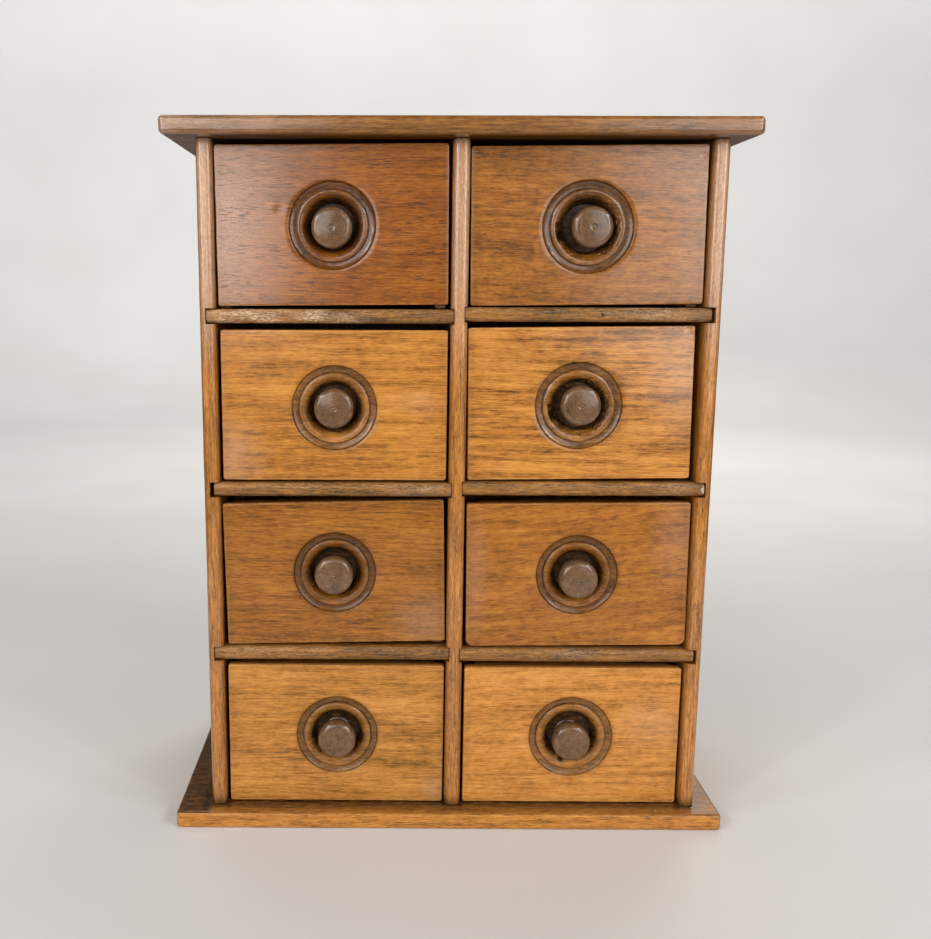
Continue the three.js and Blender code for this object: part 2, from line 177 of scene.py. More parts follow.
def wood_material(name, dark, middle, light, worn, rings=0.1, streaks=0.5, pores=0.6, blotches=0.35,
                  figure=0.15, aged=0.45, gloss=0.6, rings_per_cm=2.6, wander=1.0, roughness=0.3):
    """Varnished wood. dark, middle and light are the shades of its grain, and worn is that of its bare edges
    and of painted highlights. It reads from the mesh its wear, which holds painted highlights too, its grime,
    which holds painted shade too, and a painted sheen: a milky colour where the lights reflect."""
    dark, middle, light, worn = (colour(*shade) for shade in (dark, middle, light, worn))
    s = Shader(name)
    wood = s.attribute("wood", "Vector")
    parts = s.node("ShaderNodeSeparateXYZ", {"Vector": wood})

    # Growth rings round the tree's middle, which is the first axis. They show in some places only.
    across = s.swing(s.noise(wood, 0.13, 0.5, 3.1, detail=1), 1.2 * wander, parts.outputs[1])
    depth = s.swing(s.noise(wood, 0.3, 1.0, 7.7), 0.5 * wander, parts.outputs[2])
    squares = s.math("ADD", s.times(across, across), s.times(depth, depth))
    turn = s.math("FRACT", s.times(s.math("SQRT", squares), rings_per_cm))
    late = s.times(s.spread(turn, 0.2, 0.9), s.spread(turn, 1.0, 0.92))
    slow = s.noise(wood, 0.16, 0.6, 2.2, detail=3)
    late = s.times(late, s.spread(slow, 0.42, 0.58, 0.25, 1.0))

    # Fibres, pores and slow changes of tone.
    bands = s.noise(wood, 0.12, 3.2, 4.4)
    coarse = s.noise(wood, 0.7, 14.0, 1.3, roughness=0.7)
    fine = s.noise(wood, 2.8, 22.0, 5.9, detail=1)
    dashes = s.spread(s.noise(wood, 1.6, 19.0, 9.4, detail=1), 0.56, 0.63)
    patches = s.spread(s.noise(wood, 0.4, 1.2, 6.2), 0.36, 0.62, 0.15, 1.0)
    vessels = s.times(dashes, patches)
    mottle = s.noise(wood, 1.6, 2.4, 4.6, detail=5, roughness=0.7)
    cloud = s.spread(s.noise(wood, 0.3, 0.8, 8.1, detail=3), 0.36, 0.62)
    tone = s.math("MULTIPLY_ADD", late, -rings, 0.5 + rings * 0.3)
    tone = s.swing(coarse, streaks, tone)
    tone = s.swing(fine, streaks * 0.5, tone)
    tone = s.swing(bands, blotches * 0.7, tone)
    tone = s.swing(slow, blotches, tone)
    tone = s.swing(mottle, figure, tone)
    shade = s.ramp(tone, [(0.12, dark), (0.5, middle), (0.88, light)])
    shade = s.mix(s.times(cloud, aged), shade, AGED, "MULTIPLY")

    # Painted sheen, bare edges with painted highlights, and grime with painted shade, each broken up.
    patchy = s.noise(wood, 1.6, 5.0, 8.8, detail=4, roughness=0.65)
    speckle = s.noise(wood, 8.0, 22.0, 2.9, detail=3, roughness=0.6)
    scuffs = s.noise(wood, 4.5, 17.0, 7.3, roughness=0.7)
    broken = s.spread(speckle, 0.3, 0.6, 0.35, 1.0)
    sheen_share = s.times(s.attribute("painted_sheen", "Fac"), broken, clamp=True)
    shade = s.mix(sheen_share, shade, PAINTED_SHEEN)
    shade = s.mix(s.times(vessels, pores), shade, dark)
    rubbed = s.spread(scuffs, 0.44, 0.6, 0.1, 1.0)
    bare_and_highlight = s.times(s.attribute("wear_and_highlight", "Fac"), rubbed, clamp=True)
    shade = s.mix(bare_and_highlight, shade, worn)
    uneven_darkening = s.spread(s.swing(speckle, 0.35, patchy), 0.7, 0.3, 0.75, 1.12)
    grime_and_shade = s.attribute("grime_and_shade", "Fac")
    dirty_and_shaded = s.times(grime_and_shade, uneven_darkening, clamp=True)
    shade = s.mix(dirty_and_shaded, shade, DIRT_AND_SHADE)
    s.give("Base Color", shade)

    rough = s.swing(patchy, 0.1, roughness)
    rough = s.math("MULTIPLY_ADD", dirty_and_shaded, 0.12, rough)
    rough = s.math("MULTIPLY_ADD", vessels, 0.05, rough, clamp=True)
    s.give("Roughness", rough)
    height = s.math("MULTIPLY_ADD", vessels, -0.7, s.times(coarse, 0.6))
    height = s.math("MULTIPLY_ADD", speckle, 0.4, height)
    normal = s.node("ShaderNodeBump", {"Strength": 0.3, "Distance": 0.08 * MM, "Height": height})
    s.give("Normal", normal.outputs[0])
    s.give("Specular IOR Level", 0.25)
    shiny = s.math("MAXIMUM", gloss, s.times(dirty_and_shaded, 0.8))
    matt = s.spread(grime_and_shade, 0.92, 1.0, 1.0, 0.12)  # where the grime and the painted shade lie thick
    s.give("Coat Weight", s.times(shiny, matt))
    s.give("Coat Roughness", 0.16)
    return s.material


def plain_material(name, dark, light, roughness, metallic=0.0):
    """A speckled surface for the small pieces that aren't wood."""
    s = Shader(name)
    place = s.node("ShaderNodeTexCoord", {}).outputs["Object"]
    coarse = s.noise(place, 900.0, 900.0, 1.0, detail=3)
    fine = s.noise(place, 3500.0, 3500.0, 5.0, detail=3)
    stops = [(0.3, colour(*dark)), (0.7, colour(*light))]
    s.give("Base Color", s.ramp(s.swing(fine, 0.5, coarse), stops))
    s.give("Roughness", s.swing(fine, 0.15, roughness))
    normal = s.node("ShaderNodeBump", {"Strength": 0.4, "Distance": 0.1 * MM, "Height": fine})
    s.give("Normal", normal.outputs[0])
    s.give("Metallic", metallic)
    return s.material


# sRGB shades of 0 to 255, as (dark, middle, light), and the one of bare edges.
PALE = ((118, 78, 26), (200, 132, 63), (226, 160, 86))
TAN = ((106, 72, 22), (184, 122, 56), (212, 149, 78))
HONEY = ((106, 67, 18), (188, 121, 51), (216, 149, 71))
AMBER = ((90, 54, 14), (162, 98, 36), (192, 126, 52))
UMBER = ((84, 51, 13), (150, 91, 32), (182, 118, 48))
RUSSET = ((76, 42, 9), (146, 81, 20), (178, 108, 36))
WORN = (214, 162, 108)

CARCASE = wood_material(
    "carcase_wood", (94, 58, 15), (174, 107, 38), (206, 140, 60), (226, 190, 152), streaks=0.7, gloss=0.9)
TOP = wood_material(
    "top_wood", (74, 47, 12), (136, 84, 30), (168, 112, 47), (214, 170, 122), streaks=0.7, gloss=0.9)
BASE = wood_material(
    "base_wood", (96, 61, 18), (198, 128, 54), (222, 156, 74), WORN, streaks=0.65, blotches=0.4, gloss=0.3)
SHELF = wood_material(
    "shelf_wood", (62, 41, 11), (142, 91, 34), (178, 120, 48), (228, 202, 170),
    streaks=0.8, pores=0.7, blotches=0.45, aged=0.35, roughness=0.4, gloss=0.2)
KNOB = wood_material(
    "knob_wood", (52, 34, 20), (112, 81, 54), (138, 104, 73), (184, 146, 110),
    rings=0.14, streaks=0.45, blotches=0.4, rings_per_cm=7.0, wander=0.04, aged=0.15, gloss=0.9)
DRAWER_BOX = wood_material(
    "drawer_box_wood", (146, 96, 54), (202, 152, 98), (226, 184, 130), (230, 196, 150),
    rings=0.25, streaks=0.35, pores=0.22, blotches=0.3, aged=0.05, roughness=0.62, gloss=0.0)
BACK_PANEL = wood_material(
    "back_panel_wood", (98, 60, 32), (160, 110, 64), (190, 138, 88), (204, 158, 112),
    rings=0.25, streaks=0.4, pores=0.35, blotches=0.4, aged=0.05, roughness=0.62, gloss=0.0)
NAIL = plain_material("nail_iron", (38, 30, 26), (92, 80, 70), 0.5, metallic=0.8)
FILLER = plain_material("filler_paste", (120, 108, 92), (214, 206, 190), 0.85)


# ---- Meshes ----


def ring_faces(ring_count, ring_size, joined=False, capped=False):
    """Quads between rings of equal size. joined joins the last ring to the first, and capped closes both."""
    faces = []
    for i in range(ring_count if joined else ring_count - 1):
        a, b = i * ring_size, ((i + 1) % ring_count) * ring_size
        for k in range(ring_size):
            n = (k + 1) % ring_size
            faces.append((a + k, a + n, b + n, b + k))
    if capped:
        count = ring_count * ring_size
        faces += [tuple(range(ring_size)), tuple(range(count - ring_size, count))]
    return faces


def mesh_object(name, material, points, faces, layers, sharp):
    """A mesh object, with points in metres. layers holds arrays of one value, or one vector, for each point.
    Points that coincide are merged, faces with no area dropped, and the rest turned outwards and smoothed."""
    mesh = bpy.data.meshes.new(name)
    mesh.from_pydata(points, [], faces)
    for label, values in layers.items():
        values = np.asarray(values, np.float32)
        kind, key = ("FLOAT_VECTOR", "vector") if values.ndim == 2 else ("FLOAT", "value")
        mesh.attributes.new(label, kind, "POINT").data.foreach_set(key, values.ravel())
    work = bmesh.new()
    work.from_mesh(mesh)
    bmesh.ops.remove_doubles(work, verts=work.verts, dist=2e-6)
    bmesh.ops.dissolve_degenerate(work, edges=work.edges, dist=1e-6)
    bmesh.ops.recalc_face_normals(work, faces=work.faces)
    work.to_mesh(mesh)
    work.free()
    mesh.shade_smooth()
    mesh.set_sharp_from_angle(angle=math.radians(sharp))
    mesh.materials.append(material)
    made = bpy.data.objects.new(name, mesh)
    scene.collection.objects.link(made)
    return made


def add_piece(name, body, material, points, faces, layers=None, node=None, sharp=38):
    """A piece of the cabinet on one of its bodies, with points in millimetres."""
    metres = (np.asarray(points) * MM).tolist()
    piece = mesh_object(name, material, metres, faces, layers or {}, sharp)
    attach(piece, body)
    if node:
        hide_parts(node)


def noise_at(points, size, seed):
    """Smooth noise from -1 to 1 at each point, with lumps of that size in millimetres."""
    shift = Vector((seed * 3.7, seed * 1.9, seed * 0.7))
    return np.clip([noise.noise(Vector(p) / size + shift) for p in points.tolist()], -1, 1)


def unit(values):
    """Values, held between 0 and 1."""
    return np.clip(values, 0, 1)


def near(distance, span):
    """1 where a distance is 0, falling to 0 at span."""
    return unit(1 - np.abs(distance) / span)


def wood_space(points, grain, pith, lean, seed):
    """Points in a board's own wood, in centimetres: along its grain and across it, from the tree's middle.
    pith is where the board's middle is across the tree, and lean tips its grain in degrees."""
    middle = (points.min(0) + points.max(0)) / 2
    order = {"x": (0, 2, 1), "y": (1, 0, 2), "z": (2, 0, 1)}[grain]
    local = (points - middle)[:, order] / 10
    tip = Matrix.Rotation(math.radians(lean[0]), 3, "Z") @ Matrix.Rotation(math.radians(lean[1]), 3, "Y")
    return local @ np.array(tip).T + (seed * 17.3, *pith)


def quarter_turn(steps):
    """The sine and cosine at each step of a quarter turn, from its start to its end."""
    turns = [math.pi / 2 * k / steps for k in range(steps + 1)]
    return [(math.sin(t), math.cos(t)) for t in turns]


def rounded_outline(corners, step):
    """A closed outline through square corners, each (u, v, radius). Its points are at most step apart."""
    path = []
    for i, (u, v, radius) in enumerate(corners):
        here = np.array([u, v], float)
        before = np.array(corners[i - 1][:2]) - here
        after = np.array(corners[(i + 1) % len(corners)][:2]) - here
        before, after = before / np.linalg.norm(before), after / np.linalg.norm(after)
        centre = here + (before + after) * radius
        for sine, cosine in quarter_turn(max(1, math.ceil(radius / 0.5))):
            path.append(centre - after * radius * cosine - before * radius * sine)
    points = []
    for a, b in zip(path, path[1:] + path[:1]):
        parts = max(1, math.ceil(np.linalg.norm(b - a) / step))
        points += [a + (b - a) * k / parts for k in range(parts)]
    outline = np.array(points)
    ahead = np.roll(outline, -1, 0)
    turning = np.sum(outline[:, 0] * ahead[:, 1] - outline[:, 1] * ahead[:, 0])
    return outline if turning > 0 else outline[::-1]


def board_outline(low, high, radii, step):
    """The outline of a board's section. radii are those of its corners, anticlockwise from its lowest."""
    across, up = (low[0], high[0], high[0], low[0]), (low[1], low[1], high[1], high[1])
    return rounded_outline(list(zip(across, up, radii)), step)


def outward(outline):
    """The unit normal at each point of an anticlockwise outline."""
    ahead = np.roll(outline, -1, 0) - np.roll(outline, 1, 0)
    normal = np.stack([ahead[:, 1], -ahead[:, 0]], 1)
    return normal / np.linalg.norm(normal, axis=1)[:, None]


def slot_limits(slots, place, after):
    """The lowest and highest u that the slots leave just before or just after a place."""
    low, high = -math.inf, math.inf
    for start, end, slot_low, slot_high in slots:
        if start <= place < end if after else start < place <= end:
            low, high = max(low, slot_low), min(high, slot_high)
    return low, high


def stations(start, end, step, edge, slots=(), levels=3):
    """(place, inset, limits) along a board whose ends are rounded to the radius edge."""
    places = []
    for sine, cosine in quarter_turn(levels):
        along, inset = edge * (1 - cosine), edge * (1 - sine)
        places += [(start + along, inset), (end - along, inset)]
    inner = max(1, math.ceil((end - start - 2 * edge) / step))
    places += [(start + edge + (end - start - 2 * edge) * k / inner, 0.0) for k in range(1, inner)]
    places += [(place, 0.0) for slot in slots for place in slot[:2]]
    made = []
    for place, inset in sorted(places):
        for limits in dict.fromkeys(slot_limits(slots, place, after) for after in (False, True)):
            made.append((place, inset, limits))
    return made


AXIS_ORDER = {"x": (2, 0, 1), "y": (0, 2, 1), "z": (0, 1, 2)}


def sweep(outline, places, axis, worn, seed, patch=14.0, inset_share=1.0, cap_steps=()):
    """Sweeps a (u, v) outline along an axis, with both ends closed: along x it is (y, z), along y (x, z) and
    along z (x, y). The surface is worn away by up to worn millimetres, in patches of that size. cap_steps are
    how far in from the sides and front of each end there is another ring of points."""
    normal = outward(outline) * inset_share
    size = len(outline)
    sections = np.concatenate([
        np.column_stack([outline - normal * inset, np.full(size, place)]) for place, inset, _ in places
    ])
    hollow = worn * (0.5 + 0.5 * noise_at(sections, patch, seed))
    sections[:, :2] -= np.tile(normal, (len(places), 1)) * hollow[:, None]
    low = np.repeat([limits[0] for *_, limits in places], size)
    high = np.repeat([limits[1] for *_, limits in places], size)
    sections[:, 0] = np.clip(sections[:, 0], low, high)
    rings = list(sections.reshape(-1, size, 3))
    (u_low, v_low), u_high = outline.min(0), outline[:, 0].max()
    for step in cap_steps:
        lowest, highest = (u_low + step, v_low + step, -math.inf), (u_high - step, math.inf, math.inf)
        rings.insert(0, np.clip(rings[0], lowest, highest))
        rings.append(np.clip(rings[-1], lowest, highest))
    return np.concatenate(rings)[:, AXIS_ORDER[axis]], ring_faces(len(rings), size, capped=True)


def layers_for(points, grain, wood, wear_and_highlight=0.0, grime_and_shade=0.0, painted_sheen=0.0):
    """The values that wood_material reads. wood is (pith, lean, seed), as in wood_space. The wear holds
    painted highlights too, the grime painted shade too, and the sheen is painted.
    """
    full = np.ones(len(points))
    return {
        "wood": wood_space(points, grain, *wood),
        "wear_and_highlight": unit(wear_and_highlight * full),
        "grime_and_shade": unit(grime_and_shade * full),
        "painted_sheen": unit(painted_sheen * full),
    }


# ---- Carcase ----

GAP = 0.25  # between pieces that touch
EDGE_RADIUS = 3.6  # front corners of the sides and the divider
DADO_DEPTH = 5.8
DIVIDER_DADO_DEPTH = 2.0
BACK_RABBET = 5.0
SHELF_NOSE_RADIUS = 3.0
TOP_EDGE_RADIUS = 2.6
BASE_EDGE_RADIUS = 2.0
CORNER_EXTRA = 0.4  # how much rounder a board's corner is, seen from above, than its edge
OPEN = math.inf
NOSE_SHEEN_HEIGHT = 130  # how far down from the top the noses of the sides and the divider get a painted highlight: painted sheen and paler wear
NOSE_SHEEN_FADE = 60


def shelf_slot(side, row, low, high):
    bottom, top = box(f"shelf_{side}_{row}")
    return bottom[2] - GAP, top[2] + GAP, low, high


def upright_layers(points, wood, shelf_sides, front):
    """Worn along the nose, and grimy at the foot, the top and round each shelf. Near the top the nose gets a
    painted highlight: paler wear and a painted sheen.
    """
    x, y, z = points.T
    nose = near(y - front, 4.5)
    foot, top = box("side_panel_left")
    grime_and_shade = 0.75 * near(z - foot[2], 7) + 0.4 * near(z - top[2], 4)
    for side in shelf_sides:
        for row in SHELF_ROWS:
            low, high = box(f"shelf_{side}_{row}")
            beside = near(x - (low[0] + high[0]) / 2, (high[0] - low[0]) / 2 + 1.5) > 0
            grime_and_shade = grime_and_shade + 0.35 * beside * near(z - (low[2] + high[2]) / 2, 7)
    grime_and_shade = grime_and_shade + 0.3 * (1 - nose) * near(y - front, 18)
    left, right = x.min(), x.max()
    grime_and_shade = grime_and_shade + 0.45 * near(np.minimum(x - left, right - x), 1.6) * nose
    upper = unit((z - top[2] + NOSE_SHEEN_HEIGHT) / NOSE_SHEEN_FADE)
    # The nose's upper part is painted paler and sheeny: a painted highlight of the side lights.
    wear_and_highlight, painted_sheen = nose * (0.1 + 0.3 * upper), 0.6 * nose * upper
    return layers_for(points, "z", wood, wear_and_highlight=wear_and_highlight, grime_and_shade=grime_and_shade, painted_sheen=painted_sheen)


def upright(node, outline, slots, worn, seed, wood, shelf_sides):
    """A side or the divider, with its slots for the shelves."""
    low, high = box(node)
    places = stations(low[2], high[2], 3.5, 0.4, slots)
    points, faces = sweep(outline, places, "z", worn=worn, patch=16, seed=seed)
    layers = upright_layers(points, wood, shelf_sides, low[1])
    add_piece(node + "_board", "carcase", CARCASE, points, faces, layers, node)


def side_panel(side):
    node = f"side_panel_{side}"
    low, high = box(node)
    left = side == "left"
    inner, outer, inward = (high[0], low[0], 1) if left else (low[0], high[0], -1)
    panel_front = box("back_panel")[0][1] - GAP
    rabbet = inner - inward * BACK_RABBET
    outline = rounded_outline([
        (outer, low[1], EDGE_RADIUS), (inner, low[1], EDGE_RADIUS), (inner, panel_front, 0.2),
        (rabbet, panel_front, 0.2), (rabbet, high[1], 0.4), (outer, high[1], 0.4),
    ], 6)
    floor = inner - inward * DADO_DEPTH
    limits = (-OPEN, floor) if left else (floor, OPEN)
    slots = [shelf_slot(side, row, *limits) for row in SHELF_ROWS]
    wood = ((2.4, -3.1), (0.6, 0.5), 1) if left else ((-1.6, 2.7), (-0.9, 0.3), 2)
    upright(node, outline, slots, 0.22, 3 if left else 5, wood, [side])


def centre_divider():
    node = "centre_divider"
    low, high = box(node)
    outline = board_outline(low[:2], high[:2], (EDGE_RADIUS, EDGE_RADIUS, 0.4, 0.4), 6)
    slots = [shelf_slot("left", row, low[0] + DIVIDER_DADO_DEPTH, OPEN) for row in SHELF_ROWS]
    slots += [shelf_slot("right", row, -OPEN, high[0] - DIVIDER_DADO_DEPTH) for row in SHELF_ROWS]
    upright(node, outline, slots, 0.2, 8, ((0.8, 1.9), (0.5, -0.4), 3), SIDES)


# Where each shelf's nose is rubbed pale, from the top one down: from and to, as shares of its length, and how
# much.
RUBBED = {
    "left": ((-0.05, 0.68, 0.66), (0.7, 1.05, 0.35), (0.0, 0.3, 0.1)),
    "right": ((0.55, 1.0, 0.35), (0.8, 1.0, 0.3), (0.3, 0.6, 0.25)),
}


def shelf(side, row):
    node = f"shelf_{side}_{row}"
    low, high = box(node)
    seed = 10 + row + 4 * SIDES.index(side)
    outline = board_outline(low[1:], high[1:], (SHELF_NOSE_RADIUS, 0.3, 0.3, SHELF_NOSE_RADIUS), 6)
    places = stations(low[0], high[0], 1.6, 0.3)
    points, faces = sweep(outline, places, "x", worn=0.4, patch=7, seed=seed)
    nose = near(points[:, 1] - low[1], 5)
    upper = unit((points[:, 2] - low[2]) / (high[2] - low[2]))
    along = (points[:, 0] - low[0]) / (high[0] - low[0])
    start, end, strength = RUBBED[side][row - 1]
    inside = unit(np.minimum(along - start, end - along) * 8)
    rubbed = strength * inside * unit(0.6 + noise_at(points * (0.3, 1, 1.5), 4, seed))
    wear_and_highlight = nose * (0.1 + 0.25 * near(upper - 1, 0.35) + rubbed)
    grime_and_shade = 0.12 + 0.3 * noise_at(points, 18, seed + 1) + 0.25 * nose * near(upper - 0.05, 0.2)
    grime_and_shade = grime_and_shade - 0.3 * nose * rubbed
    wood = ((1.1 * (-1) ** row, 2.2), (0.8 * (-1) ** seed, 0.3), seed)
    # The rubbed parts of the nose also get a painted sheen.
    layers = layers_for(points, "x", wood, wear_and_highlight=wear_and_highlight, grime_and_shade=grime_and_shade, painted_sheen=0.2 * nose * rubbed)
    add_piece(node + "_board", "carcase", SHELF, points, faces, layers, node)


CAP_STEPS = (5, 7, 9, 11, 13.5, 17, 22, 30, 50)  # from the edges, on a slab's faces


def slab(node, material, edge, wood, seed, wear_and_highlight, grime_and_shade, painted_sheen=None):
    """The top or the base: a board rounded along its front and both ends. Its wear, grime and painted sheen
    are functions of its points; the grime holds painted shade too."""
    low, high = box(node)
    corner = edge + CORNER_EXTRA
    outline = board_outline(low[:2], high[:2], (corner, corner, 0.3, 0.3), 4)
    normal = outward(outline)
    share = np.stack([np.ones(len(normal)), normal[:, 1] < 0], 1)
    places = stations(low[2], high[2], 2, edge, levels=6)
    points, faces = sweep(
        outline, places, "z", worn=0.25, patch=12, seed=seed, inset_share=share, cap_steps=CAP_STEPS)
    sheen_share = painted_sheen(points) if painted_sheen else 0.0
    layers = layers_for(points, "x", wood, wear_and_highlight=wear_and_highlight(points), grime_and_shade=grime_and_shade(points), painted_sheen=sheen_share)
    add_piece(node + "_slab", "carcase", material, points, faces, layers, node)


def top_wear(points):
    x, y, z = points.T
    low, high = box("top_board")
    front = near(y - low[1], 2.5)
    ends = near(np.minimum(x - low[0], high[0] - x), 3)
    arris = near(np.minimum(z - low[2], high[2] - z), 1.5)
    return np.maximum(front, ends) * (0.06 + 0.3 * arris * unit(0.4 + noise_at(points, 12, 4)))


# Darker at random, and more so on its lower half and underside.
def top_darkening(points):
    low, high = box("top_board")
    under = points[:, 2] < (low[2] + high[2]) / 2
    return 0.06 + 0.15 * under + 0.2 * noise_at(points * (0.4, 1, 1), 9, 6)


# A painted sheen at both ends of the top, where the side lights reflect.
def top_painted_sheen(points):
    low, high = box("top_board")
    ends = 0.95 * near(points[:, 0] - low[0], 95) + 0.3 * near(points[:, 0] - high[0], 75)
    return ends * unit(0.7 + noise_at(points * (0.5, 1, 2), 9, 7))


def base_wear(points):
    x, y, z = points.T
    low, high = box("base_board")
    arris = near(y - low[1], 2) * near(high[2] - z, 1.2)
    right = near(x - high[0], 6)
    return 0.05 + 0.4 * arris + 0.45 * right * unit(0.5 + noise_at(points, 8, 9))


def base_dirt_and_shade(points):
    """Painted shade on the lip in front of the carcase, darkest against it. The lip at the left end is darker
    too, and the rest darker at random.
    """
    x, y, z = points.T
    left, front, _ = box("side_panel_left")[0]
    right = box("side_panel_right")[1][0]
    above = z > box("base_board")[1][2] - 0.8
    inside = np.maximum.reduce([front - y, left - x, x - right])
    lip = 0.42 + 0.5 * near(np.maximum(inside, 0), 6)
    ends = 0.45 * (x < left)
    return np.where(above, lip + ends, 0.08 + 0.3 * unit(noise_at(points, 5, 12)))


def plank(node, body, material, grain, wood, seed, edge=0.5, sunk=0.0):
    """A plain board in its CAD node's place, with its arrises taken off."""
    low, high = box(node)
    low, high = low + sunk, high - sunk
    u, v, along = {"x": (1, 2, 0), "y": (0, 2, 1), "z": (0, 1, 2)}[grain]
    outline = board_outline(low[[u, v]], high[[u, v]], (edge,) * 4, 6)
    places = stations(low[along], high[along], 6, edge)
    points, faces = sweep(outline, places, grain, worn=0.12, seed=seed)
    arris = 1 - unit(np.min(np.sort(np.minimum(points - low, high - points), 1)[:, 1:], 1) / 1.2)
    grime_and_shade = 0.12 + 0.22 * noise_at(points, 30, seed)
    layers = layers_for(points, grain, wood, wear_and_highlight=0.35 * arris, grime_and_shade=grime_and_shade)
    add_piece(node + "_board", body, material, points, faces, layers, node)


def heads(name, body, spots, radius, rise, seed):
    """Nail heads joined in one piece. A spot is (centre, way out)."""
    sides, levels = 12, 3
    points, faces = [], []
    for i, (centre, way) in enumerate(spots):
        way = Vector(way)
        turn = way.to_track_quat("Z", "Y").to_matrix()
        start = len(points)
        rings = [(1.0, -0.5)] + [(cosine, rise * sine) for sine, cosine in quarter_turn(levels)[:-1]]
        for share, height in rings:
            for k in range(sides):
                a = 2 * math.pi * k / sides
                ragged = radius * share * (1 + 0.08 * math.sin(2 * a + seed + i) + 0.05 * math.sin(3 * a - i))
                local = Vector((ragged * math.cos(a), ragged * math.sin(a), height))
                points.append(list(Vector(centre) + turn @ local))
        for face in ring_faces(len(rings), sides, capped=True):
            faces.append(tuple(start + k for k in face))
    add_piece(name, body, NAIL, points, faces)


NAIL_RADIUS = 1.3
NAIL_RISE = 0.25
NAIL_INSET = 9  # from the edges of the back panel
PIN_FROM_DIVIDER = 79


def carcase_nails():
    """Heads along the back panel's edges, filled nail holes in the top, and one pin in a shelf's nose."""
    low, high = box("back_panel")
    back = high[1] - NAIL_RISE
    first, last = low + NAIL_INSET, high - NAIL_INSET
    spots = []
    for x in (first[0], last[0]):
        spots += [((x, back, first[2] + (last[2] - first[2]) * k / 5), (0, 1, 0)) for k in range(6)]
    for z in (first[2], last[2]):
        spots += [((low[0] + (high[0] - low[0]) * k / 4, back, z), (0, 1, 0)) for k in (1, 2, 3)]
    heads("back_panel_nails", "carcase", spots, NAIL_RADIUS, NAIL_RISE, 1)

    top = box("top_board")[1][2] - 0.3
    spots = []
    for board in ("side_panel_left", "centre_divider", "side_panel_right"):
        low, high = box(board)
        middle, depth = (low[0] + high[0]) / 2, high[1] - low[1]
        spots += [((middle, low[1] + depth * share, top), (0, 0, 1)) for share in (0.12, 0.5, 0.88)]
    heads("top_board_plugs", "carcase", spots, NAIL_RADIUS, 0.2, 2)

    low, high = box("shelf_right_1")
    pin = (low[0] + PIN_FROM_DIVIDER, low[1] + 0.15, (low[2] + high[2]) / 2)
    heads("shelf_right_1_pin", "carcase", [(pin, (0, -1, 0))], 1.2, 0.3, 3)


def lump(name, centre, size, roughness, seed):
    """A small ragged lump of filler."""
    rings, sides = 9, 14
    points = []
    for i in range(rings + 1):
        t = math.pi * i / rings
        for k in range(sides):
            a = 2 * math.pi * k / sides
            points.append((math.sin(t) * math.cos(a), math.sin(t) * math.sin(a), math.cos(t)))
    points = np.array(points)
    uneven = 1 - roughness * (0.5 + 0.5 * noise_at(points + seed, 0.55, seed))
    points = points * uneven[:, None] * size + centre
    add_piece(name, "carcase", FILLER, points, ring_faces(rings + 1, sides))


def repairs():
    """The dab of filler at the end of a shelf, and crumbs of it on the base."""
    low, high = box("shelf_right_2")
    dab = (high[0] - 1.0, low[1] + 1.5, (low[2] + high[2]) / 2)
    lump("shelf_right_2_filler", dab, (1.7, 2.6, 3.8), 0.4, 4)
    low, high = box("side_panel_right")
    base_top = box("base_board")[1][2]
    for i, (x, y, size) in enumerate([(-1.5, -1.6, 0.8), (0.2, 3.2, 0.9), (-25, -5.5, 0.6)]):
        spot = (high[0] + x, low[1] + y, base_top + size * 0.2)
        lump(f"base_board_crumb_{i + 1}", spot, (size * 1.4, size, size * 0.7), 0.5, 20 + i)


# ---- Drawer fronts ----

DISH_RADIUS = 25.0
COVE_DEPTH = 2.2
BEAD_OUTER, BEAD_CREST, BEAD_RISE = 20.8, 19.2, 1.8
WELL_RADIUS, WELL_DEPTH = 12.8, 9.5
HOLE_RADIUS = 4.3
LIP = 6.0  # thickness of the front where a drawer side laps behind it
CORNER_RADIUS = 1.3
FRONT_SIDES = 144  # points round each ring of a front, not counting those at its corners
FACE_RINGS, EDGE_RINGS = 22, 5
SHIFT_FROM, SHIFT_TO = 38, 28  # the radii between which the shift of the dish fades in
CHIP_RADIUS, CHIP_HALF_WIDTH = 15.2, 2.8  # where chips in the bead lie

